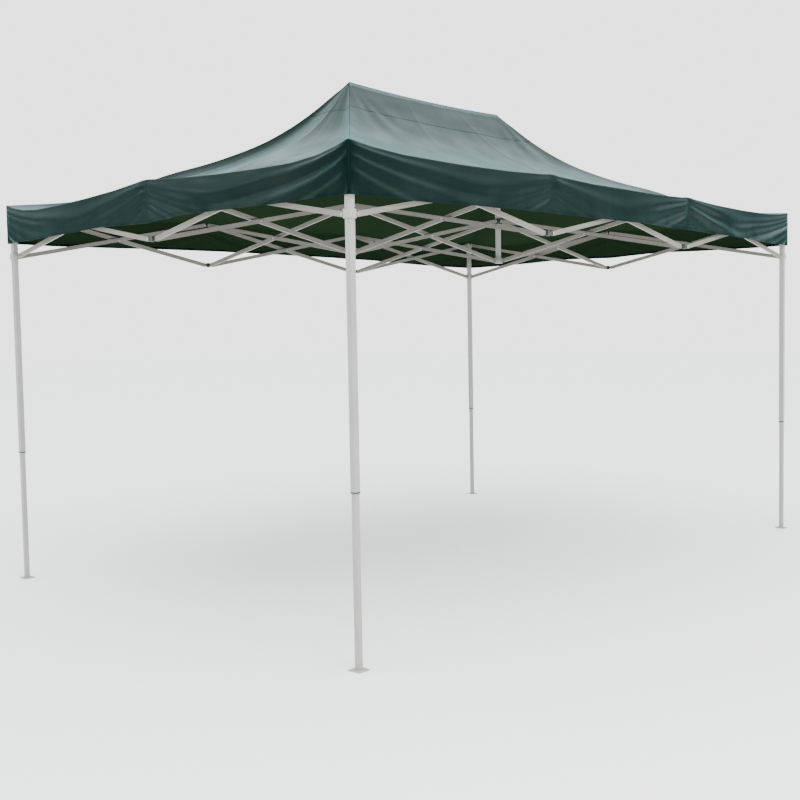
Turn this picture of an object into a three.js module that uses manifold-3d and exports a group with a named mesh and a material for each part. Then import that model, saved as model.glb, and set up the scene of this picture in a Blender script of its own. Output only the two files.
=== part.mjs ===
// Pop up gazebo, 3 x 4.5 m: four telescopic legs, a folding lattice of scissor bars on a grid of
// 4 x 3 nodes, two hubs with sprung peak masts, and a fabric canopy with a valance.
// Millimetres, +Z up, long side along X. The origin is on the ground under the middle.
import * as THREE from 'three'
import { mergeVertices } from 'three/addons/utils/BufferGeometryUtils.js'
import Module from 'manifold-3d'

const wasm = await Module()
wasm.setup()

// ---- driving dimensions ----
const BAR_WIDTH = 12
const BAR_HEIGHT = 25
const BAR_WALL = 1
const BAR_OFFSET = 6.5 // each bar of a crossing pair lies this far to its own side of the node line
const BAR_RUN = 1404 // level distance between a bar's end pivots when the frame is open
const BAR_OVERHANG = 8 // bar past its end pivot
const FORK_CUT = 12 // top and bottom walls are cut away this far inside the end pivot
const UPPER_Z = 2280 // upper pivots
const LOWER_Z = 2000 // lower pivots
const REACH_BLOCK = 38 // pivot to node centre at legs and hubs
const REACH_MID = 28.5 // pivot to node centre at the small perimeter brackets

const LEG_TUBE = 30
const LEG_WALL = 1.2
const LEG_BOTTOM_Z = 790
const INNER_TUBE = 25
const INNER_WALL = 1.2
const INNER_TOP_Z = 1450
const FOOT_PLATE = 70
const FOOT_THICK = 4
const HOLE_HEIGHTS = [29, 145, 243, 335] // height setting holes, above the outer tube's end
const HOLE_RADIUS = 4
const HOLE_SIDES = 8
const HEAD_COVER = 3 // solid top over the outer tube's bore

const BLOCK = 41 // leg brackets, sliders and hubs, square in plan
const BLOCK_HEIGHT = 40
const SLIDER_BORE = 31
const MID_BLOCK = 19
const MID_HEIGHT = 30
const TONGUE_THICK = 7
const TONGUE_RADIUS = 10
const TONGUE_HALF = 8

const MAST_TUBE = 28
const MAST_WALL = 1.2
const MAST_LENGTH = 520 // outer mast tube above the lower pivots
const MAST_BORE = 29
const PEAK_TUBE = 24
const PEAK_WALL = 1.2
const PEAK_TOP_Z = 3018
const CAP_HEIGHT = 8
const CAP_RADIUS = 16
const HUB_FLOOR = 5 // solid bottom of the lower hub, under the peak mast
const MAST_GAP = 1
const CUT_MARGIN = 5 // cutting solids run this far past the faces that they open

const CANOPY_MARGIN = 34 // canopy face outside the leg centres
const CANOPY_THICK = 0.8
const RIDGE_Z = 3045
const EAVE_Z = 2312
const HEM_Z = 2076
// Share of the way in from the eave to the ridge, and share of the rise, at each roof ring.
const ROOF_RINGS = [[0, 0], [0.3, 0.06], [0.45, 0.2], [0.6, 0.34], [0.78, 0.54], [0.92, 0.8]]

const MID_PITCH = BAR_RUN + REACH_MID + REACH_BLOCK
const HUB_PITCH = BAR_RUN + 2 * REACH_BLOCK
const HUB_X = HUB_PITCH / 2
const HALF_X = HUB_X + MID_PITCH
const HALF_Y = MID_PITCH
const NODE_X = [-HALF_X, -HUB_X, HUB_X, HALF_X]
const NODE_Y = [-HALF_Y, 0, HALF_Y]
const BAR_RISE = UPPER_Z - LOWER_Z
const BAR_PIVOTS = Math.hypot(BAR_RUN, BAR_RISE)
const BAR_ANGLE = Math.atan2(BAR_RISE, BAR_RUN)

// ---- materials ----
const FRAME_PAINT = new THREE.MeshStandardMaterial({ color: 0xc8c8c2, roughness: 0.45, metalness: 0.1 })
const BRACKET = new THREE.MeshStandardMaterial({ color: 0x24262a, roughness: 0.6, metalness: 0 })
const FABRIC = new THREE.MeshStandardMaterial({ color: 0x1f3b33, roughness: 0.5, metalness: 0 })

// ---- solids ----
function solid(geometry) {
  const g = geometry.clone()
  g.deleteAttribute('normal')
  g.deleteAttribute('uv')
  const m = mergeVertices(g, 1e-4)
  return new wasm.Manifold(new wasm.Mesh({
    numProp: 3,
    vertProperties: new Float32Array(m.attributes.position.array),
    triVerts: new Uint32Array(m.index.array),
  }))
}

function box(sx, sy, sz, x = 0, y = 0, z = 0) {
  return solid(new THREE.BoxGeometry(sx, sy, sz).translate(x, y, z))
}

function rod(radius, length, axis, x, y, z, sides = 12) {
  const g = new THREE.CylinderGeometry(radius, radius, length, sides)
  if (axis === 'x') g.rotateZ(Math.PI / 2)
  if (axis === 'z') g.rotateX(Math.PI / 2)
  return solid(g.translate(x, y, z))
}

function tube(size, wall, z0, z1, x, y) {
  const inner = size - 2 * wall
  const mid = (z0 + z1) / 2
  return box(size, size, z1 - z0, x, y, mid).subtract(box(inner, inner, z1 - z0 + 2 * CUT_MARGIN, x, y, mid))
}

function join(solids) {
  return solids.reduce((a, b) => a.add(b))
}

const gazebo = new THREE.Group()

function add(name, manifold, material) {
  const mesh = manifold.getMesh()
  const g = new THREE.BufferGeometry()
  g.setAttribute('position', new THREE.BufferAttribute(new Float32Array(mesh.vertProperties), 3))
  g.setIndex(new THREE.BufferAttribute(new Uint32Array(mesh.triVerts), 1))
  g.computeVertexNormals()
  const part = new THREE.Mesh(g, material)
  part.name = name
  gazebo.add(part)
  return part
}

// One tongue: a flat lug that a bar's forked end straddles, towards dir ('x' or 'y', sign +1 or -1).
function tongue(x, y, z, axis, sign, side, reach) {
  const offset = side * BAR_OFFSET
  if (axis === 'x') {
    const shank = box(reach, TONGUE_THICK, 2 * TONGUE_HALF, x + sign * reach / 2, y + offset, z)
    return shank.add(rod(TONGUE_RADIUS, TONGUE_THICK, 'y', x + sign * reach, y + offset, z))
  }
  const shank = box(TONGUE_THICK, reach, 2 * TONGUE_HALF, x + offset, y + sign * reach / 2, z)
  return shank.add(rod(TONGUE_RADIUS, TONGUE_THICK, 'x', x + offset, y + sign * reach, z))
}

// Every tongue of grid node i, j. A falling bar starts at the upper node on its low-coordinate side,
// a rising bar at the lower node, so the side that a bar lies on depends on level and direction.
function tongues(i, j, upper) {
  const z = upper ? UPPER_Z : LOWER_Z
  const made = []
  for (const [axis, sign] of [['x', 1], ['x', -1], ['y', 1], ['y', -1]]) {
    const next = axis === 'x' ? [i + sign, j] : [i, j + sign]
    if (NODE_X[next[0]] === undefined || NODE_Y[next[1]] === undefined) continue
    const side = (upper ? 1 : -1) * sign
    made.push(tongue(NODE_X[i], NODE_Y[j], z, axis, sign, side, nodeReach(i, j, axis, sign)))
  }
  return join(made)
}

function isCorner(i, j) {
  return (i === 0 || i === 3) && j !== 1
}

function isHub(i, j) {
  return (i === 1 || i === 2) && j === 1
}

// Pivot distance from the centre of node i, j towards one neighbour.
function nodeReach(i, j, axis, sign) {
  if (isCorner(i, j) || isHub(i, j)) return REACH_BLOCK
  const facesMid = axis === 'x' && j !== 1 && i + sign > 0 && i + sign < 3
  return facesMid ? REACH_BLOCK : REACH_MID
}

// ---- scissor bars ----
// A bar along +X with its pivots at +-BAR_PIVOTS / 2, forked at both ends.
function plainBar() {
  const long = BAR_PIVOTS + 2 * BAR_OVERHANG
  const hollow = BAR_WIDTH - 2 * BAR_WALL
  const cut = BAR_OVERHANG + FORK_CUT
  let bar = box(long, BAR_WIDTH, BAR_HEIGHT)
  bar = bar.subtract(box(long + 2 * CUT_MARGIN, hollow, BAR_HEIGHT - 2 * BAR_WALL))
  const forkLong = cut + CUT_MARGIN
  for (const end of [-1, 1]) {
    const forkX = end * (long / 2 - cut + forkLong / 2)
    bar = bar.subtract(box(forkLong, hollow, BAR_HEIGHT + CUT_MARGIN, forkX))
  }
  return bar
}

const BAR = plainBar()

function addBar(name, cx, cy, axis, falling) {
  const tilt = falling ? BAR_ANGLE : -BAR_ANGLE
  const side = falling ? BAR_OFFSET : -BAR_OFFSET
  const mesh = add(name, BAR, FRAME_PAINT)
  const turn = new THREE.Quaternion().setFromAxisAngle(new THREE.Vector3(0, 1, 0), tilt)
  if (axis === 'y') {
    turn.premultiply(new THREE.Quaternion().setFromAxisAngle(new THREE.Vector3(0, 0, 1), Math.PI / 2))
  }
  mesh.quaternion.copy(turn)
  const z = (UPPER_Z + LOWER_Z) / 2
  if (axis === 'x') mesh.position.set(cx, cy + side, z)
  else mesh.position.set(cx + side, cy, z)
}

for (let j = 0; j < NODE_Y.length; j++) {
  for (let i = 0; i + 1 < NODE_X.length; i++) {
    const from = NODE_X[i] + nodeReach(i, j, 'x', 1)
    const to = NODE_X[i + 1] - nodeReach(i + 1, j, 'x', -1)
    addBar(`bar_x${i}${j}_falling`, (from + to) / 2, NODE_Y[j], 'x', true)
    addBar(`bar_x${i}${j}_rising`, (from + to) / 2, NODE_Y[j], 'x', false)
  }
}
for (let i = 0; i < NODE_X.length; i++) {
  for (let j = 0; j + 1 < NODE_Y.length; j++) {
    const from = NODE_Y[j] + nodeReach(i, j, 'y', 1)
    const to = NODE_Y[j + 1] - nodeReach(i, j + 1, 'y', -1)
    addBar(`bar_y${i}${j}_falling`, NODE_X[i], (from + to) / 2, 'y', true)
    addBar(`bar_y${i}${j}_rising`, NODE_X[i], (from + to) / 2, 'y', false)
  }
}

// ---- legs, sliders and feet ----
const CORNERS = [[0, 0, 'front_left'], [3, 0, 'front_right'], [0, 2, 'back_left'], [3, 2, 'back_right']]
for (const [i, j, where] of CORNERS) {
  const x = NODE_X[i]
  const y = NODE_Y[j]
  const inward = i === 0 ? 1 : -1
  const head = box(BLOCK, BLOCK, BLOCK_HEIGHT, x, y, UPPER_Z)
  const bore = LEG_TUBE - 2 * LEG_WALL
  let leg = tube(LEG_TUBE, LEG_WALL, LEG_BOTTOM_Z, UPPER_Z, x, y)
  leg = leg.add(head).add(tongues(i, j, true))
  leg = leg.subtract(box(bore, bore, BLOCK_HEIGHT, x, y, UPPER_Z - HEAD_COVER))
  const face = x + inward * LEG_TUBE / 2
  for (const height of HOLE_HEIGHTS) {
    const z = LEG_BOTTOM_Z + height
    leg = leg.subtract(rod(HOLE_RADIUS, LEG_WALL * 4, 'x', face, y, z, HOLE_SIDES))
  }
  add(`outer_leg_${where}`, leg, FRAME_PAINT)

  const plate = box(FOOT_PLATE, FOOT_PLATE, FOOT_THICK, x, y, FOOT_THICK / 2)
  const foot = tube(INNER_TUBE, INNER_WALL, FOOT_THICK / 2, INNER_TOP_Z, x, y).add(plate)
  add(`inner_leg_${where}`, foot, FRAME_PAINT)

  const block = box(BLOCK, BLOCK, BLOCK_HEIGHT, x, y, LOWER_Z).add(tongues(i, j, false))
  const slot = box(SLIDER_BORE, SLIDER_BORE, BLOCK_HEIGHT + 2 * CUT_MARGIN, x, y, LOWER_Z)
  add(`slider_${where}`, block.subtract(slot), FRAME_PAINT)
}

// ---- perimeter brackets between the legs ----
const MIDS = [
  [0, 1, 'left'], [3, 1, 'right'],
  [1, 0, 'front_1'], [2, 0, 'front_2'],
  [1, 2, 'back_1'], [2, 2, 'back_2'],
]
for (const [i, j, where] of MIDS) {
  const post = box(MID_BLOCK, MID_BLOCK, MID_HEIGHT, NODE_X[i], NODE_Y[j], LOWER_Z)
  add(`lower_bracket_${where}`, post.add(tongues(i, j, false)), BRACKET)
}

// ---- hubs and peak masts ----
for (const [i, where] of [[1, 'left'], [2, 'right']]) {
  const x = NODE_X[i]
  const upper = box(BLOCK, BLOCK, BLOCK_HEIGHT, x, 0, UPPER_Z).add(tongues(i, 1, true))
  const passage = box(MAST_BORE, MAST_BORE, BLOCK_HEIGHT + 2 * CUT_MARGIN, x, 0, UPPER_Z)
  add(`upper_hub_${where}`, upper.subtract(passage), BRACKET)

  const mastInner = MAST_TUBE - 2 * MAST_WALL
  const floor = LOWER_Z - BLOCK_HEIGHT / 2 + HUB_FLOOR
  let lower = box(BLOCK, BLOCK, BLOCK_HEIGHT, x, 0, LOWER_Z).add(tongues(i, 1, false))
  lower = lower.add(box(MAST_TUBE, MAST_TUBE, MAST_LENGTH, x, 0, LOWER_Z + MAST_LENGTH / 2))
  lower = lower.subtract(box(mastInner, mastInner, 2 * MAST_LENGTH, x, 0, floor + MAST_LENGTH))
  add(`lower_hub_mast_${where}`, lower, FRAME_PAINT)

  const bottom = floor + MAST_GAP
  const shaft = tube(PEAK_TUBE, PEAK_WALL, bottom, PEAK_TOP_Z - CAP_HEIGHT / 2, x, 0)
  const cap = rod(CAP_RADIUS, CAP_HEIGHT, 'z', x, 0, PEAK_TOP_Z - CAP_HEIGHT / 2, 16)
  add(`peak_mast_${where}`, shaft.add(cap), FRAME_PAINT)
}

// ---- canopy ----
// A ring of ten points at half sizes hx, hy and height z, anticlockwise from the front left corner.
function ring(hx, hy, z) {
  const front = [[-hx, -hy], [-HUB_X, -hy], [HUB_X, -hy], [hx, -hy], [hx, 0]]
  const back = front.map(([x, y]) => [-x, -y])
  return [...front, ...back].map(([x, y]) => [x, y, z])
}

function canopyRings(shrink) {
  const hx = HALF_X + CANOPY_MARGIN - shrink
  const hy = HALF_Y + CANOPY_MARGIN - shrink
  const rings = [ring(hx, hy, HEM_Z)]
  for (const [inShare, rise] of ROOF_RINGS) {
    const x = THREE.MathUtils.lerp(hx, HUB_X + 2, inShare)
    rings.push(ring(x, hy * (1 - inShare), THREE.MathUtils.lerp(EAVE_Z, RIDGE_Z, rise) - shrink))
  }
  return rings
}

function canopyShell() {
  const points = []
  const faces = []
  const count = 10
  const layer = (shrink, flip) => {
    const base = points.length
    const rings = canopyRings(shrink)
    rings.forEach((r) => points.push(...r))
    const tri = (a, b, c) => faces.push(flip ? [a, c, b] : [a, b, c])
    for (let r = 0; r + 1 < rings.length; r++) {
      for (let k = 0; k < count; k++) {
        const a = base + r * count + k
        const b = base + r * count + (k + 1) % count
        tri(a, b, b + count)
        tri(a, b + count, a + count)
      }
    }
    const top = base + (rings.length - 1) * count
    const left = points.push([-HUB_X, 0, RIDGE_Z - shrink]) - 1
    const right = points.push([HUB_X, 0, RIDGE_Z - shrink]) - 1
    const fan = (from, to, apex) => {
      for (let k = from; k < to; k++) tri(top + k % count, top + (k + 1) % count, apex)
    }
    fan(2, 6, right)
    fan(7, 11, left)
    tri(top + 1, top + 2, right)
    tri(top + 1, right, left)
    tri(top + 6, top + 7, left)
    tri(top + 6, left, right)
    return base
  }
  const outer = layer(0, false)
  const inner = layer(CANOPY_THICK, true)
  for (let k = 0; k < count; k++) {
    const n = (k + 1) % count
    faces.push([outer + k, inner + k, inner + n])
    faces.push([outer + k, inner + n, outer + n])
  }
  const g = new THREE.BufferGeometry()
  g.setAttribute('position', new THREE.BufferAttribute(new Float32Array(points.flat()), 3))
  g.setIndex(faces.flat())
  g.computeVertexNormals()
  return g
}

const canopy = new THREE.Mesh(canopyShell(), FABRIC)
canopy.name = 'canopy'
gazebo.add(canopy)

export default gazebo
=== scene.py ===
# Pop up gazebo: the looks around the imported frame. Metres, +Z up, long side along X.
import math

import bpy
import numpy as np
from mathutils import Matrix, Vector


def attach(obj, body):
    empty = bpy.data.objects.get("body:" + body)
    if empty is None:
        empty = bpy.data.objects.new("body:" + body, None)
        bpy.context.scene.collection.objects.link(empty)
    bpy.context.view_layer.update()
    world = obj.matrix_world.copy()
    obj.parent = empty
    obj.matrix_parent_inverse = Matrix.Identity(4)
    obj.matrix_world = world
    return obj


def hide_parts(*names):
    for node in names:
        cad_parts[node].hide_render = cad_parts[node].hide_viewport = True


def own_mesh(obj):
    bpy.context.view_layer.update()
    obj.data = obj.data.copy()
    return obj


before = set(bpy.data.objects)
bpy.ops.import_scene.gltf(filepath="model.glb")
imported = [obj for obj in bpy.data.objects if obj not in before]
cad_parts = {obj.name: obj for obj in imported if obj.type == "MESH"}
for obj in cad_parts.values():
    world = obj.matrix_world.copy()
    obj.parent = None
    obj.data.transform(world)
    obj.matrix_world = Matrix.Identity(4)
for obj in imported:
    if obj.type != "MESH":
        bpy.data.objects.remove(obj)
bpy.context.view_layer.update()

# ---- driving dimensions: the frame ----
HUB_X = 0.740  # the two hubs, each side of the middle
HALF_X = 2.2105  # leg centres
HALF_Y = 1.4705
UPPER_Z = 2.280  # the scissor pivots' two levels
LOWER_Z = 2.000
BAR_OFFSET = 0.0065  # a bar's middle line, from the line between its nodes
BAR_WIDTH = 0.012
REACH_BLOCK = 0.038  # node to bar pivot at corners, at hubs and in the long sides' middle bays
REACH_MID = 0.0285  # node to bar pivot elsewhere
LEG_END_Z = 0.790
CORNERS = {
    "front_left": (-1, -1),
    "front_right": (1, -1),
    "back_left": (-1, 1),
    "back_right": (1, 1),
}
NODE_X = (-HALF_X, -HUB_X, HUB_X, HALF_X)
NODE_Y = (-HALF_Y, 0.0, HALF_Y)

# ---- driving dimensions: the canopy ----
SIDES = ("front", "right", "back", "left")
LONG_SIDES = ("front", "back")
CANOPY_X = 2.2425  # canopy faces
CANOPY_Y = 1.5025
RIDGE_Z = 3.041
CORNER_ROUND = 0.013
# Share of the rise from the eave to the ridge, at each share of the way in.
ROOF_SHARE = (0, 0.15, 0.3, 0.45, 0.6, 0.75, 0.87, 1.0)
ROOF_RISE = (0, 0.012, 0.053, 0.226, 0.337, 0.493, 0.692, 1.0)
ROOF_SEAM = 0.885  # share of the way in where the roof panels are joined
# Eave and hem heights, by distance from the middle of the side. The corners and the middle
# brackets hold the cloth up, and it sags between them.
LONG_EAVE = (
    (0, 0.35, 0.66, 0.72, 0.76, 0.82, 1.1, 1.5, 1.9, 2.1, 2.2425),
    (2.290, 2.289, 2.298, 2.304, 2.304, 2.298, 2.285, 2.278, 2.281, 2.294, 2.312),
)
SHORT_EAVE = (
    (0, 0.03, 0.10, 0.3, 0.6, 0.9, 1.13, 1.3, 1.42, 1.5025),
    (2.304, 2.303, 2.296, 2.279, 2.264, 2.255, 2.253, 2.266, 2.289, 2.312),
)
LONG_HEM = (
    (0, 0.5, 0.9, 1.2, 1.45, 1.65, 1.9, 2.2425),
    (2.105, 2.104, 2.100, 2.094, 2.089, 2.085, 2.080, 2.078),
)
SHORT_HEM = (
    (0, 0.2, 0.46, 0.8, 1.13, 1.35, 1.5025),
    (2.078, 2.086, 2.094, 2.084, 2.079, 2.078, 2.078),
)
EAVE_BLUR = 0.012
HEM_BLUR = 0.035
RIDGE_SAG = 0.016
ROOF_SAG = 0.010
ROOF_RIPPLE = 0.0022
PEAK_PLEAT = 0.0045
CORNER_STITCH = 0.034  # stitched strip each side of a corner
STITCH_DEPTH = 0.0009
HEM_TURN = 0.018
HEM_LIP = 0.0022
FOLD_DEPTH = 0.010  # most that a fold dips inside the flat of the valance
# Tension folds: slope from where the cloth is held, width in slope, and height.
CORNER_FOLDS = ((0.080, 0.025, 0.013), (0.142, 0.033, 0.018), (0.212, 0.033, 0.015), (0.280, 0.027, 0.010))
KNUCKLE_FOLDS = ((0.10, 0.034, 0.009), (0.19, 0.044, 0.013), (0.29, 0.040, 0.008))
BILLOWS = (0.005, 0.004)
CRINKLES = (0.0008, 0.0005)
FINE_CREASE = 0.0002
ROOF_ROWS = 64
VALANCE_ROWS = 26
HEM_ROWS = 9
FIRST_SEED = 3
# Columns of points near a corner, by distance from it, and the spacing of the rest.
CORNER_COLUMNS = (0, 0.002, 0.004, 0.006, 0.009, 0.013, 0.017, 0.021, 0.026, 0.031, 0.0325, 0.034,
                  0.0355, 0.037, 0.043, 0.053, 0.067)
COLUMN_PITCH = 0.021
GORE_DEGREES = 12

# ---- driving dimensions: fasteners and fittings; profiles are (radius, height) ----
RIVET = ((0.0058, 0.0), (0.0058, 0.0010), (0.0048, 0.0022), (0.0026, 0.0030), (0.0008, 0.0032))
PLUG_START = 0.0125
PLUG_LONG = 0.030
PLUG_HALF_WIDE = 0.0038
PLUG_HALF_HIGH = 0.0087
WASHER_PLACE = 0.0031
WASHER = ((0.0075, 0.0), (0.0080, 0.0002), (0.0080, 0.0006), (0.0076, 0.0008))
TONGUE_PROFILE = ((0.0093, -0.0035), (0.0100, -0.0028), (0.0100, 0.0028), (0.0093, 0.0035))
TONGUE_HALF_THICK = 0.003
TONGUE_HALF_HIGH = 0.008
BRACKET_HALVES = (0.0095, 0.0095, 0.0115)
# Where a middle upper bracket stands, the bar it turns with, and the ways its tongues point.
UPPER_BRACKETS = {
    "left": ((0, 1), "bar_x01_falling", (("x", 1), ("y", 1), ("y", -1))),
    "right": ((3, 1), "bar_x21_rising", (("x", -1), ("y", 1), ("y", -1))),
    "front_1": ((1, 0), "bar_y10_falling", (("y", 1), ("x", 1), ("x", -1))),
    "front_2": ((2, 0), "bar_y20_falling", (("y", 1), ("x", 1), ("x", -1))),
    "back_1": ((1, 2), "bar_y11_rising", (("y", -1), ("x", 1), ("x", -1))),
    "back_2": ((2, 2), "bar_y21_rising", (("y", -1), ("x", 1), ("x", -1))),
}
BUTTON = ((0.0036, -0.004), (0.0036, 0.0015), (0.0030, 0.0032), (0.0014, 0.0040))
BUTTON_Z = 0.819
INNER_LEG_FACE = 0.0125  # from the leg's middle line
BUSH_INNER = 0.0128
BUSH_OUTER = 0.0158
BUSH_HIGH = 0.007
SQUARE = ((-1, -1), (1, -1), (1, 1), (-1, 1))
BAR_EDGE = 0.0012  # bevel widths
FRAME_EDGE = 0.0018
FITTING_EDGE = 0.0008
PLUG_EDGE = 0.0004

# ---- camera and light ----
CAMERA_PLACE = (-5.5001, -4.805, 1.4717)
CAMERA_LENS = 48.52  # mm, on a 36 mm sensor
CAMERA_YAW = 0.749  # radians
CAMERA_PITCH = -0.0596
CAMERA_ROLL = -0.018
# Area lights: place, what they point at, diameter, and power in watts.
LIGHTS = {
    "key": ((-3.5, -6.5, 7.5), (0, 0, 2.0), 4.0, 640),
    "fill": ((7.0, -9.0, 4.5), (0, -1.5, 2.2), 2.5, 140),
    "side": ((-9.0, 7.0, 4.5), (-2.2, 0, 2.2), 2.5, 190),
}
# The dome brightens from one height to the other, as the sine of the angle above the horizon.
DOME_HEIGHTS = (0.12, 0.62)
DOME_STRENGTHS = (0.30, 3.4)
DOME_COLOUR = (0.97, 1.0, 1.0, 1.0)
BACKDROP = 3.35
FLOOR_HALF = 60.0


# ---- camera, lights and floor ----
def make_camera():
    data = bpy.data.cameras.new("camera")
    data.sensor_width = 36.0
    data.lens = CAMERA_LENS
    data.clip_end = 200.0
    cam = bpy.data.objects.new("camera", data)
    bpy.context.scene.collection.objects.link(cam)
    level = math.cos(CAMERA_PITCH)
    ahead = Vector((math.cos(CAMERA_YAW) * level, math.sin(CAMERA_YAW) * level, math.sin(CAMERA_PITCH)))
    right = ahead.cross(Vector((0, 0, 1))).normalized()
    up = right.cross(ahead)
    x = math.cos(CAMERA_ROLL) * right + math.sin(CAMERA_ROLL) * up
    y = -math.sin(CAMERA_ROLL) * right + math.cos(CAMERA_ROLL) * up
    turn = Matrix((x, y, -ahead)).transposed()
    cam.matrix_world = Matrix.Translation(CAMERA_PLACE) @ turn.to_4x4()
    bpy.context.scene.camera = cam


def area_light(name, place, target, size, power):
    data = bpy.data.lights.new(name, "AREA")
    data.shape = "DISK"
    data.size = size
    data.energy = power
    lamp = bpy.data.objects.new(name, data)
    lamp.location = place
    lamp.rotation_mode = "QUATERNION"
    lamp.rotation_quaternion = (Vector(target) - Vector(place)).to_track_quat("-Z", "Y")
    bpy.context.scene.collection.objects.link(lamp)


# Soft dome light, brightest overhead, in front of a plain bright backdrop.
def make_world():
    world = bpy.data.worlds.new("studio")
    world.use_nodes = True
    tree = world.node_tree
    dome = tree.nodes["Background"]
    direction = tree.nodes.new("ShaderNodeTexCoord").outputs["Generated"]
    parts = tree.nodes.new("ShaderNodeSeparateXYZ")
    tree.links.new(direction, parts.inputs[0])
    height = node(tree, "ShaderNodeMapRange")
    height.interpolation_type = "SMOOTHSTEP"
    height.inputs["From Min"].default_value = DOME_HEIGHTS[0]
    height.inputs["From Max"].default_value = DOME_HEIGHTS[1]
    height.inputs["To Min"].default_value = DOME_STRENGTHS[0]
    height.inputs["To Max"].default_value = DOME_STRENGTHS[1]
    tree.links.new(parts.outputs["Z"], height.inputs["Value"])
    tree.links.new(height.outputs["Result"], dome.inputs["Strength"])
    dome.inputs["Color"].default_value = DOME_COLOUR
    backdrop = tree.nodes.new("ShaderNodeBackground")
    backdrop.inputs["Strength"].default_value = BACKDROP
    seen = tree.nodes.new("ShaderNodeLightPath")
    mixed = tree.nodes.new("ShaderNodeMixShader")
    tree.links.new(seen.outputs["Is Camera Ray"], mixed.inputs[0])
    tree.links.new(dome.outputs[0], mixed.inputs[1])
    tree.links.new(backdrop.outputs[0], mixed.inputs[2])
    tree.links.new(mixed.outputs[0], tree.nodes["World Output"].inputs["Surface"])
    bpy.context.scene.world = world


def make_stage():
    make_world()
    for name, (place, target, size, power) in LIGHTS.items():
        area_light(name, place, target, size, power)
    mesh = bpy.data.meshes.new("floor")
    mesh.from_pydata([(x * FLOOR_HALF, y * FLOOR_HALF, 0) for x, y in SQUARE], [], [(0, 1, 2, 3)])
    floor = bpy.data.objects.new("floor", mesh)
    bpy.context.scene.collection.objects.link(floor)
    mat, _, shader = new_material("floor_pale")
    shader.inputs["Base Color"].default_value = (0.92, 0.92, 0.92, 1)
    shader.inputs["Roughness"].default_value = 0.9
    shader.inputs["Specular IOR Level"].default_value = 0.1
    mesh.materials.append(mat)


# ---- materials ----
def new_material(name):
    mat = bpy.data.materials.new(name)
    mat.use_nodes = True
    tree = mat.node_tree
    return mat, tree, tree.nodes["Principled BSDF"]


def node(tree, kind, **values):
    made = tree.nodes.new(kind)
    for key, value in values.items():
        if key in made.inputs:
            made.inputs[key].default_value = value
        else:
            setattr(made, key, value)
    return made


def noise(tree, scale, detail, place):
    made = node(tree, "ShaderNodeTexNoise", Scale=scale, Detail=detail)
    tree.links.new(place, made.inputs["Vector"])
    return made.outputs["Fac"]


def ramp(tree, source, low, high, start=0.35, end=0.65):
    made = tree.nodes.new("ShaderNodeValToRGB")
    made.color_ramp.elements[0].position = start
    made.color_ramp.elements[1].position = end
    made.color_ramp.elements[0].color = (*low, 1)
    made.color_ramp.elements[1].color = (*high, 1)
    tree.links.new(source, made.inputs["Fac"])
    return made.outputs["Color"]


def grey_ramp(tree, source, low, high, start=0.35, end=0.65):
    return ramp(tree, source, (low,) * 3, (high,) * 3, start, end)


def bump(tree, shader, source, strength, distance, below=None):
    made = node(tree, "ShaderNodeBump", Strength=strength, Distance=distance)
    tree.links.new(source, made.inputs["Height"])
    if below is not None:
        tree.links.new(below, made.inputs["Normal"])
    tree.links.new(made.outputs["Normal"], shader.inputs["Normal"])
    return made.outputs["Normal"]


def mix(tree, share, a, b):
    made = tree.nodes.new("ShaderNodeMix")
    made.data_type = "RGBA"
    for socket, value in ((0, share), (6, a), (7, b)):
        if isinstance(value, tuple):
            made.inputs[socket].default_value = (*value, 1)
        elif isinstance(value, float):
            made.inputs[socket].default_value = value
        else:
            tree.links.new(value, made.inputs[socket])
    return made.outputs[2]


# Powder coat over steel: fine orange peel, faint mottling and a few dull scuffs.
def paint_material(name, light, dark, scuffed):
    mat, tree, shader = new_material(name)
    place = tree.nodes.new("ShaderNodeTexCoord").outputs["Object"]
    mottled = ramp(tree, noise(tree, 5.0, 4.0, place), dark, light, 0.3, 0.7)
    scuffs = grey_ramp(tree, noise(tree, 45.0, 5.0, place), 0, 1, 0.66, 0.76)
    tree.links.new(mix(tree, scuffs, mottled, scuffed), shader.inputs["Base Color"])
    rough = grey_ramp(tree, noise(tree, 35.0, 3.0, place), 0.36, 0.5)
    tree.links.new(rough, shader.inputs["Roughness"])
    shader.inputs["Specular IOR Level"].default_value = 0.4
    bump(tree, shader, noise(tree, 900.0, 2.0, place), 0.25, 0.0002)
    return mat


def plastic_material(name, light, dark, roughness):
    mat, tree, shader = new_material(name)
    place = tree.nodes.new("ShaderNodeTexCoord").outputs["Object"]
    colour = ramp(tree, noise(tree, 25.0, 4.0, place), dark, light)
    tree.links.new(colour, shader.inputs["Base Color"])
    rough = grey_ramp(tree, noise(tree, 120.0, 3.0, place), roughness - 0.07, roughness + 0.07)
    tree.links.new(rough, shader.inputs["Roughness"])
    bump(tree, shader, noise(tree, 1500.0, 2.0, place), 0.3, 0.0001)
    return mat


def steel_material(name):
    mat, tree, shader = new_material(name)
    place = tree.nodes.new("ShaderNodeTexCoord").outputs["Object"]
    colour = ramp(tree, noise(tree, 90.0, 4.0, place), (0.42, 0.42, 0.41), (0.6, 0.6, 0.59))
    tree.links.new(colour, shader.inputs["Base Color"])
    shader.inputs["Metallic"].default_value = 0.9
    rough = grey_ramp(tree, noise(tree, 200.0, 3.0, place), 0.28, 0.42)
    tree.links.new(rough, shader.inputs["Roughness"])
    bump(tree, shader, noise(tree, 800.0, 2.0, place), 0.2, 0.0001)
    return mat


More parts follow.
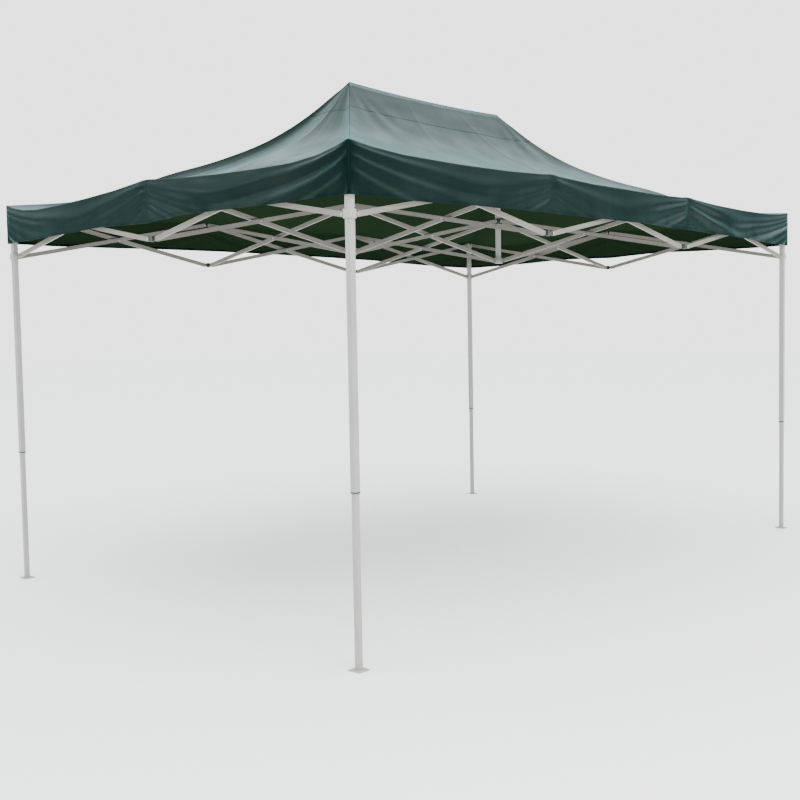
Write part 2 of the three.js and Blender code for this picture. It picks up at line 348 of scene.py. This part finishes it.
# Coated polyester: plain weave, broad shade variation, darker seams, and light coming through.
def fabric_material(name, light, dark, seam_colour, through, inside):
    mat, tree, shader = new_material(name)
    place = tree.nodes.new("ShaderNodeTexCoord").outputs["Object"]
    broad = ramp(tree, noise(tree, 1.6, 3.0, place), dark, light, 0.3, 0.7)
    threads = ramp(tree, noise(tree, 260.0, 3.0, place), dark, light, 0.3, 0.7)
    cloth = mix(tree, 0.25, broad, threads)
    seam = tree.nodes.new("ShaderNodeAttribute")
    seam.attribute_name = "seam"
    tree.links.new(mix(tree, seam.outputs["Fac"], cloth, seam_colour), shader.inputs["Base Color"])
    rough = grey_ramp(tree, noise(tree, 5.0, 4.0, place), 0.30, 0.40)
    tree.links.new(mix(tree, seam.outputs["Fac"], rough, (0.85, 0.85, 0.85)), shader.inputs["Roughness"])
    shader.inputs["Specular IOR Level"].default_value = 0.07
    shader.inputs["Specular Tint"].default_value = (0.45, 0.88, 0.88, 1)
    shader.inputs["Sheen Weight"].default_value = 0.34
    shader.inputs["Sheen Tint"].default_value = (0.15, 0.70, 0.74, 1)
    shader.inputs["Sheen Roughness"].default_value = 0.30
    rumple = node(tree, "ShaderNodeBump", Strength=0.16, Distance=0.003)
    tree.links.new(noise(tree, 11.0, 5.0, place), rumple.inputs["Height"])
    weave = noise(tree, 1400.0, 1.0, place)
    bump(tree, shader, weave, 0.15, 0.0001, rumple.outputs["Normal"])
    dull = tree.nodes.new("ShaderNodeBsdfDiffuse")
    tree.links.new(mix(tree, seam.outputs["Fac"], inside, seam_colour), dull.inputs["Color"])
    sides = tree.nodes.new("ShaderNodeMixShader")
    tree.links.new(tree.nodes.new("ShaderNodeNewGeometry").outputs["Backfacing"], sides.inputs[0])
    tree.links.new(shader.outputs[0], sides.inputs[1])
    tree.links.new(dull.outputs[0], sides.inputs[2])
    glow = tree.nodes.new("ShaderNodeBsdfTranslucent")
    glow.inputs["Color"].default_value = (*through, 1)
    added = tree.nodes.new("ShaderNodeAddShader")
    tree.links.new(sides.outputs[0], added.inputs[0])
    tree.links.new(glow.outputs[0], added.inputs[1])
    tree.links.new(added.outputs[0], tree.nodes["Material Output"].inputs["Surface"])
    return mat


LEG_PAINT = paint_material("leg_paint", (0.34, 0.34, 0.325), (0.315, 0.315, 0.30), (0.26, 0.25, 0.235))
# The bars get a darker, warmer copy of the leg paint: painted shade standing in for the shade that falls
# on the bars under the canopy.
SHADED_BAR_PAINT = paint_material("bar_paint", (0.20, 0.19, 0.165), (0.175, 0.165, 0.143), (0.14, 0.13, 0.112))
BLACK = plastic_material("bracket_plastic", (0.045, 0.046, 0.048), (0.028, 0.029, 0.031), 0.5)
STEEL = steel_material("fastener_steel")
FABRIC = fabric_material(
    "canopy_fabric",
    light=(0.0012, 0.0064, 0.0055),
    dark=(0.0007, 0.0040, 0.0034),
    seam_colour=(0.0015, 0.0100, 0.0080),
    through=(0.0035, 0.0085, 0.0036),
    inside=(0.0050, 0.0085, 0.0045),
)


# ---- general mesh helpers ----
def add_object(name, verts, faces, material, body, smooth=True):
    mesh = bpy.data.meshes.new(name)
    mesh.from_pydata([tuple(v) for v in verts], [], [tuple(f) for f in faces])
    mesh.materials.append(material)
    mesh.polygons.foreach_set("use_smooth", [smooth] * len(mesh.polygons))
    mesh.update()
    obj = bpy.data.objects.new(name, mesh)
    bpy.context.scene.collection.objects.link(obj)
    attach(obj, body)
    return obj


# Many turned shapes in one mesh: profile is (radius, height) from the base, along each given axis.
def lathe_mesh(placed, profile, sides=20):
    verts = []
    faces = []
    for centre, axis in placed:
        axis = Vector(axis).normalized()
        helper = Vector((0, 0, 1)) if abs(axis.z) < 0.9 else Vector((1, 0, 0))
        a = axis.cross(helper).normalized()
        b = axis.cross(a)
        base = len(verts)
        for radius, height in profile:
            for k in range(sides):
                t = 2 * math.pi * k / sides
                verts.append(Vector(centre) + axis * height + (a * math.cos(t) + b * math.sin(t)) * radius)
        for row in range(len(profile) - 1):
            for k in range(sides):
                n = (k + 1) % sides
                start = base + row * sides
                faces.append((start + k, start + n, start + sides + n, start + sides + k))
        faces.append([base + k for k in reversed(range(sides))])
        faces.append([base + (len(profile) - 1) * sides + k for k in range(sides)])
    return verts, faces


def bevelled(obj, width, segments=2):
    modifier = obj.modifiers.new("edges", "BEVEL")
    modifier.width = width
    modifier.segments = segments
    modifier.limit_method = "ANGLE"
    modifier.angle_limit = math.radians(40)


# ---- the CAD nodes ----
def dress_frame():
    for name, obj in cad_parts.items():
        dark = name.startswith(("lower_bracket", "upper_hub"))
        obj.data.materials.clear()
        # Bars take the darker copy of the paint, which is painted shade; legs and the rest take the plain
        # paint.
        paint = SHADED_BAR_PAINT if name.startswith("bar_") else LEG_PAINT
        obj.data.materials.append(BLACK if dark else paint)
        if name != "canopy":
            bevelled(obj, BAR_EDGE if name.startswith("bar_") else FRAME_EDGE)


# ---- canopy shape ----
# A table looked up with its kinks rounded over about twice the blur.
def soft_table(x, xs, ys, blur=0.035):
    offsets = np.linspace(-blur, blur, 7)
    return sum(np.interp(x + o, xs, ys) for o in offsets) / len(offsets)


# The same, but exact at the last entry, so that two sides meet at a corner.
def edge_table(x, xs, ys, blur):
    end_error = ys[-1] - soft_table(xs[-1], xs, ys, blur)
    near_end = np.clip(1 - (xs[-1] - x) / 0.06, 0, 1)
    return soft_table(x, xs, ys, blur) + end_error * near_end


def soft_rise(share):
    edge = min(share, 1 - share) / 0.07
    soft = soft_table(share, ROOF_SHARE, ROOF_RISE, 0.05)
    sharp = np.interp(share, ROOF_SHARE, ROOF_RISE)
    return sharp + (soft - sharp) * min(edge, 1.0)


def eave_height(long_side, along):
    return edge_table(np.abs(along), *(LONG_EAVE if long_side else SHORT_EAVE), EAVE_BLUR)


def hem_height(long_side, along):
    return edge_table(np.abs(along), *(LONG_HEM if long_side else SHORT_HEM), HEM_BLUR)


# Tension folds that fan out from a point just past where the cloth is held.
def fan(dist, drop, lead, folds, reach):
    t = (drop + 0.03) / (dist + lead)
    relief = 0
    for place, width, height in folds:
        relief = relief + height * np.exp(-(((t - place) / width) ** 2))
        relief = relief - 0.55 * height * np.exp(-(((t - place - 1.9 * width) / width) ** 2))
    fade = np.clip(dist / 0.05, 0, 1) * np.clip((reach - dist) / (0.6 * reach), 0, 1)
    return relief * fade


def varied_folds(rng, folds, shift, least, most):
    places, widths, heights = np.array(folds).T
    places = places + rng.uniform(-shift, shift, len(folds))
    widths = widths * rng.uniform(0.85, 1.2, len(folds))
    heights = heights * rng.uniform(least, most, len(folds))
    return list(zip(places, widths, heights))


# How far the valance stands out from its flat plane.
def valance_relief(long_side, along, drop, share, seed):
    rng = np.random.default_rng(seed)
    half = CANOPY_X if long_side else CANOPY_Y
    relief = np.zeros_like(along)
    for end in (-1, 1):
        away = half - end * along
        folds = varied_folds(rng, CORNER_FOLDS, 0.012, 0.8, 1.15)
        relief += fan(away, drop, 0.7, folds, 1.35 if long_side else 1.2)
    for held in ((-HUB_X, HUB_X) if long_side else (0.0,)):
        for way in (-1, 1):
            dist = (along - held) * way
            folds = varied_folds(rng, KNUCKLE_FOLDS, 0.02, 0.7, 1.2)
            near = fan(np.abs(dist), drop, 0.45, folds, 1.0)
            relief += np.where(dist > 0, near, 0)
    near_corner = np.clip((half - np.abs(along)) / 0.3, 0, 1)
    phase = rng.uniform(0, 6.28, 5)
    billow = BILLOWS[0] * np.sin(5.3 * along + phase[0])
    billow = billow + BILLOWS[1] * np.sin(11.7 * along + 4 * drop + phase[1])
    crinkle = CRINKLES[0] * np.sin(31 * along + phase[2])
    crinkle = crinkle + CRINKLES[1] * np.sin(53 * along - 20 * drop + phase[3])
    fine = FINE_CREASE * np.sin(97 * along + 33 * drop + phase[4])
    low_down = np.clip((share - 0.3) / 0.7, 0, 1)
    return relief + billow * share * near_corner + (crinkle + fine) * low_down


def outline(side, u, hx, hy):
    if side == "front":
        return u * hx, np.full_like(u, -hy)
    if side == "back":
        return -u * hx, np.full_like(u, hy)
    if side == "right":
        return np.full_like(u, hx), u * hy
    return np.full_like(u, -hx), -u * hy


def side_columns(half):
    count = int(round((half - CORNER_COLUMNS[-1]) / COLUMN_PITCH))
    away = np.concatenate((CORNER_COLUMNS[:-1], np.linspace(CORNER_COLUMNS[-1], half, count)))
    right = 1 - away / half
    return np.concatenate((-right[:-1], right[::-1]))


def roof_row(side, u, share):
    long_side = side in LONG_SIDES
    hx = CANOPY_X + (HUB_X - CANOPY_X) * share
    x, y = outline(side, u, hx, CANOPY_Y * (1 - share))
    eave = eave_height(long_side, u * (CANOPY_X if long_side else CANOPY_Y))
    z = eave + (RIDGE_Z - eave) * soft_rise(share)
    if long_side:
        z -= RIDGE_SAG * (1 - np.clip(np.abs(x) / HUB_X, 0, 1) ** 2) * share**2
    inside = np.clip(share * 5, 0, 1) * np.clip((1 - share) * 5, 0, 1)
    z -= ROOF_SAG * np.sin(np.pi * share) * (1 - np.abs(u) ** 8)
    z += inside * ROOF_RIPPLE * np.sin(5.1 * x + 2.3 * y + 0.6) * np.sin(3.7 * y - 1.9 * x + 1.1)
    round_peak = np.arctan2(y, np.abs(x) - HUB_X)
    pulled = np.exp(-(((np.abs(x) - HUB_X) / 0.35) ** 2)) * share**2 * min((1 - share) * 6, 1)
    z += PEAK_PLEAT * pulled * np.sin(9 * round_peak + 1.3 * np.sign(x))
    half = hx if long_side else CANOPY_Y * (1 - share)
    hip = np.clip(1 - (1 - np.abs(u)) * half / 0.004, 0, 1)
    seam = np.full_like(u, 0.8 * max(0.0, 1 - abs(share - ROOF_SEAM) / 0.003))
    return np.stack((x, y, z), 1), np.maximum(hip, seam)


def round_corner(x, y):
    cx = CANOPY_X - CORNER_ROUND
    cy = CANOPY_Y - CORNER_ROUND
    dx = np.abs(x) - cx
    dy = np.abs(y) - cy
    length = np.hypot(dx, dy)
    inside = (dx > 0) & (dy > 0) & (length > CORNER_ROUND)
    shrink = CORNER_ROUND / np.maximum(length, 1e-9)
    return (
        np.where(inside, np.sign(x) * (cx + dx * shrink), x),
        np.where(inside, np.sign(y) * (cy + dy * shrink), y),
    )


def valance_row(side, u, share, seed, lip=0.0):
    long_side = side in LONG_SIDES
    half = CANOPY_X if long_side else CANOPY_Y
    along = u * half
    top = eave_height(long_side, along)
    z = top + (hem_height(long_side, along) - top) * share
    away = half - np.abs(along)
    relief = valance_relief(long_side, along, top - z, share, seed)
    top_fade = np.clip(share / 0.12, 0, 1)
    clear = FOLD_DEPTH * 0.5
    out = np.logaddexp(0, (relief * top_fade + FOLD_DEPTH) / clear * 2) * clear / 2 - FOLD_DEPTH
    out = (out - lip) * np.clip((away - 0.005) / 0.025, 0, 1)
    stitch = np.clip(1 - np.abs(away - CORNER_STITCH) / 0.0016, 0, 1)
    edge = np.clip(1 - away / 0.004, 0, 1)
    hem_line = np.clip(1 - np.abs(z - hem_height(long_side, along) - HEM_TURN) / 0.0025, 0, 1)
    out = out - STITCH_DEPTH * stitch
    x, y = outline(side, u, CANOPY_X, CANOPY_Y)
    if long_side:
        y = y + np.sign(y) * out
    else:
        x = x + np.sign(x) * out
    x, y = round_corner(x, y)
    return np.stack((x, y, z), 1), np.maximum.reduce((0.7 * stitch, edge, 0.5 * hem_line))


# Rows of one side from the turned-in hem, up the valance and in over the roof.
def side_grid(side, seed):
    u = side_columns(CANOPY_X if side in LONG_SIDES else CANOPY_Y)
    drops = np.concatenate((np.linspace(1, 0.9, HEM_ROWS), np.linspace(0.9, 0, VALANCE_ROWS)[1:]))
    rows = [valance_row(side, u, d, seed, HEM_LIP) for d in (0.92, 0.945, 0.97, 0.997)]
    rows += [valance_row(side, u, d, seed) for d in drops]
    valance_rows = len(rows)
    shares = np.unique(np.concatenate((
        np.linspace(0, 1, ROOF_ROWS + 1), (0.004, 0.009), ROOF_SEAM + np.array((-0.003, 0, 0.003)))))
    for share in shares[1:]:
        points, seam = roof_row(side, u, share)
        points[:, 0], points[:, 1] = round_corner(points[:, 0], points[:, 1])
        rows.append((points, seam))
    return np.array([r[0] for r in rows]), np.array([r[1] for r in rows]), valance_rows


# The whole canopy as one mesh: points, seam mask, faces, and for each face its side and whether
# it is valance.
def canopy_mesh():
    points, seams, faces, sides, valance = [], [], [], [], []
    base = 0
    for number, side in enumerate(SIDES):
        grid, seam, valance_rows = side_grid(side, number + FIRST_SEED)
        rows, cols = grid.shape[:2]
        r, c = np.mgrid[0:rows - 1, 0:cols - 1]
        a = base + (r * cols + c).ravel()
        faces.append(np.stack((a, a + 1, a + cols + 1, a + cols), 1))
        sides.append(np.full(len(a), number))
        valance.append((r < valance_rows - 1).ravel())
        points.append(grid.reshape(-1, 3))
        seams.append(seam.ravel())
        base += rows * cols
    points = np.concatenate(points)
    seams = np.concatenate(seams)
    _, first, index = np.unique(np.round(points, 5), axis=0, return_index=True, return_inverse=True)
    faces = index.reshape(-1)[np.concatenate(faces)]
    return points[first], seams[first], faces, np.concatenate(sides), np.concatenate(valance)


def vertex_normals(points, faces):
    cross = np.cross(points[faces[:, 2]] - points[faces[:, 0]], points[faces[:, 3]] - points[faces[:, 1]])
    normals = np.zeros_like(points)
    for k in range(4):
        np.add.at(normals, faces[:, k], cross)
    return normals / np.maximum(np.linalg.norm(normals, axis=1), 1e-12)[:, None]


def canopy_piece(name, whole, chosen, body):
    points, seams, normals, faces = whole
    used, local = np.unique(faces[chosen], return_inverse=True)
    polygons = []
    for quad in local.reshape(-1, 4):
        corners = list(dict.fromkeys(int(v) for v in quad))
        if len(corners) > 2:
            polygons.append(corners)
    obj = add_object(name, points[used], polygons, FABRIC, body)
    mask = obj.data.attributes.new("seam", "FLOAT", "POINT")
    mask.data.foreach_set("value", seams[used].astype(np.float32))
    obj.data.normals_split_custom_set_from_vertices(normals[used].tolist())
    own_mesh(obj)
    return obj


def build_canopy():
    points, seams, faces, sides, valance = canopy_mesh()
    whole = (points, seams, vertex_normals(points, faces), faces)
    centres = points[faces].mean(1)
    for end, sign in (("left", -1), ("right", 1)):
        apex = np.array((sign * HUB_X, 0.0, RIDGE_Z))
        angle = np.degrees(np.arctan2(centres[:, 1], centres[:, 0] - apex[0])) % 360
        gore = (angle // GORE_DEGREES).astype(int)
        half = ~valance & (centres[:, 0] * sign > 0)
        for k in range(360 // GORE_DEGREES):
            chosen = half & (gore == k)
            if not chosen.any():
                continue
            name = f"roof_{end}_{k + 1:02d}"
            mast = f"peak_mast_{end}"
            canopy_piece(name, whole, chosen, mast)
    for number, side in enumerate(SIDES):
        for corner, (sx, sy) in CORNERS.items():
            in_quarter = (centres[:, 0] * sx > 0) & (centres[:, 1] * sy > 0)
            chosen = valance & (sides == number) & in_quarter
            if not chosen.any():
                continue
            name = f"valance_{side}_at_{corner}"
            canopy_piece(name, whole, chosen, f"leg_{corner}")
    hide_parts("canopy")


# ---- fasteners and small fittings ----
def node_reach(i, j, axis, sign):
    corner = i in (0, 3) and j != 1
    hub = i in (1, 2) and j == 1
    if corner or hub:
        return REACH_BLOCK
    faces_mid = axis == "x" and j != 1 and 0 < i + sign < 3
    return REACH_BLOCK if faces_mid else REACH_MID


def bar_ends(axis, i, j):
    if axis == "x":
        low = (NODE_X[i] + node_reach(i, j, "x", 1), NODE_Y[j])
        high = (NODE_X[i + 1] - node_reach(i + 1, j, "x", -1), NODE_Y[j])
    else:
        low = (NODE_X[i], NODE_Y[j] + node_reach(i, j, "y", 1))
        high = (NODE_X[i], NODE_Y[j + 1] - node_reach(i, j + 1, "y", -1))
    return Vector((*low, 0)), Vector((*high, 0))


# A block with its own three axes: half sizes along each.
def block_mesh(centre, axes, halves):
    verts = []
    for sz in (-1, 1):
        for sx, sy in SQUARE:
            flat = centre + axes[0] * halves[0] * sx + axes[1] * halves[1] * sy
            verts.append(flat + axes[2] * halves[2] * sz)
    faces = [(3, 2, 1, 0), (4, 5, 6, 7), (0, 1, 5, 4), (1, 2, 6, 5), (2, 3, 7, 6), (3, 0, 4, 7)]
    return verts, faces


def combined(meshes):
    verts = []
    faces = []
    for more, polygons in meshes:
        base = len(verts)
        verts += more
        faces += [[base + v for v in polygon] for polygon in polygons]
    return verts, faces


# Rivets through every pivot, and inside each bar end a plastic plug and a washer each side of the
# tongue, all turning with the bar.
def build_bar_fittings():
    bars = [("x", i, j) for j in range(3) for i in range(3)]
    bars += [("y", i, j) for i in range(4) for j in range(2)]
    for axis, i, j in bars:
        low, high = bar_ends(axis, i, j)
        lateral = Vector((0, 1, 0)) if axis == "x" else Vector((1, 0, 0))
        for kind, sign in (("falling", 1), ("rising", -1)):
            body = f"bar_{axis}{i}{j}_{kind}"
            ends = [low.copy(), high.copy()]
            ends[0].z = UPPER_Z if kind == "falling" else LOWER_Z
            ends[1].z = LOWER_Z if kind == "falling" else UPPER_Z
            middle_line = lateral * sign * BAR_OFFSET
            outside = lateral * sign * (BAR_OFFSET + BAR_WIDTH / 2)
            rivets = [(p + outside, lateral * sign) for p in (*ends, (ends[0] + ends[1]) / 2)]
            verts, faces = lathe_mesh(rivets, RIVET)
            add_object(f"rivets_{axis}{i}{j}_{kind}", verts, faces, STEEL, body)
            along = (ends[1] - ends[0]).normalized()
            parts = []
            for p, inward in ((ends[0], along), (ends[1], -along)):
                plug = p + middle_line + inward * (PLUG_START + PLUG_LONG / 2)
                axes = (inward, lateral, inward.cross(lateral))
                parts.append(block_mesh(plug, axes, (PLUG_LONG / 2, PLUG_HALF_WIDE, PLUG_HALF_HIGH)))
                for face in (-1, 1):
                    washer = p + middle_line + lateral * face * WASHER_PLACE
                    parts.append(lathe_mesh([(washer, lateral * face)], WASHER, 16))
            verts, faces = combined(parts)
            name = f"plugs_{axis}{i}{j}_{kind}"
            plugs = add_object(name, verts, faces, BLACK, body, False)
            bevelled(plugs, PLUG_EDGE, 1)


def build_upper_brackets():
    upright = (Vector((1, 0, 0)), Vector((0, 1, 0)), Vector((0, 0, 1)))
    for where, ((i, j), body, ways) in UPPER_BRACKETS.items():
        centre = Vector((NODE_X[i], NODE_Y[j], UPPER_Z))
        parts = [block_mesh(centre, upright, BRACKET_HALVES)]
        for axis, sign in ways:
            reach = node_reach(i, j, axis, sign)
            way = Vector((sign, 0, 0)) if axis == "x" else Vector((0, sign, 0))
            side = Vector((0, 1, 0)) if axis == "x" else Vector((1, 0, 0))
            start = centre + side * sign * BAR_OFFSET
            axes = (way, side, way.cross(side))
            halves = (reach / 2, TONGUE_HALF_THICK, TONGUE_HALF_HIGH)
            parts.append(block_mesh(start + way * reach / 2, axes, halves))
            parts.append(lathe_mesh([(start + way * reach, side)], TONGUE_PROFILE, 24))
        verts, faces = combined(parts)
        name = f"upper_bracket_{where}"
        obj = add_object(name, verts, faces, BLACK, body, False)
        bevelled(obj, FITTING_EDGE)


def square_ring(x, y, z, inner, outer, high):
    verts = []
    for half in (inner, outer):
        for level in (z, z + high):
            for sx, sy in SQUARE:
                verts.append(Vector((x + sx * half, y + sy * half, level)))
    faces = []
    for k in range(4):
        n = (k + 1) % 4
        faces += [(k, k + 4, n + 4, n), (8 + k, 8 + n, 12 + n, 12 + k)]
        faces += [(k, n, 8 + n, 8 + k), (4 + k, 12 + k, 12 + n, 4 + n)]
    return verts, faces


# Spring buttons on the inner legs, and the plastic bush round the foot of each outer leg.
def build_leg_fittings():
    for corner, (sx, sy) in CORNERS.items():
        x = sx * HALF_X
        y = sy * HALF_Y
        inward = Vector((-sx, 0, 0))
        on_face = Vector((x, y, BUTTON_Z)) + inward * INNER_LEG_FACE
        verts, faces = lathe_mesh([(on_face, inward)], BUTTON)
        add_object(f"button_{corner}", verts, faces, STEEL, f"foot_{corner}")
        verts, faces = square_ring(x, y, LEG_END_Z - BUSH_HIGH / 2, BUSH_INNER, BUSH_OUTER, BUSH_HIGH)
        name = f"bush_{corner}"
        bush = add_object(name, verts, faces, BLACK, f"leg_{corner}", False)
        bevelled(bush, FITTING_EDGE)


make_camera()
make_stage()
dress_frame()
build_canopy()
build_bar_fittings()
build_upper_brackets()
build_leg_fittings()
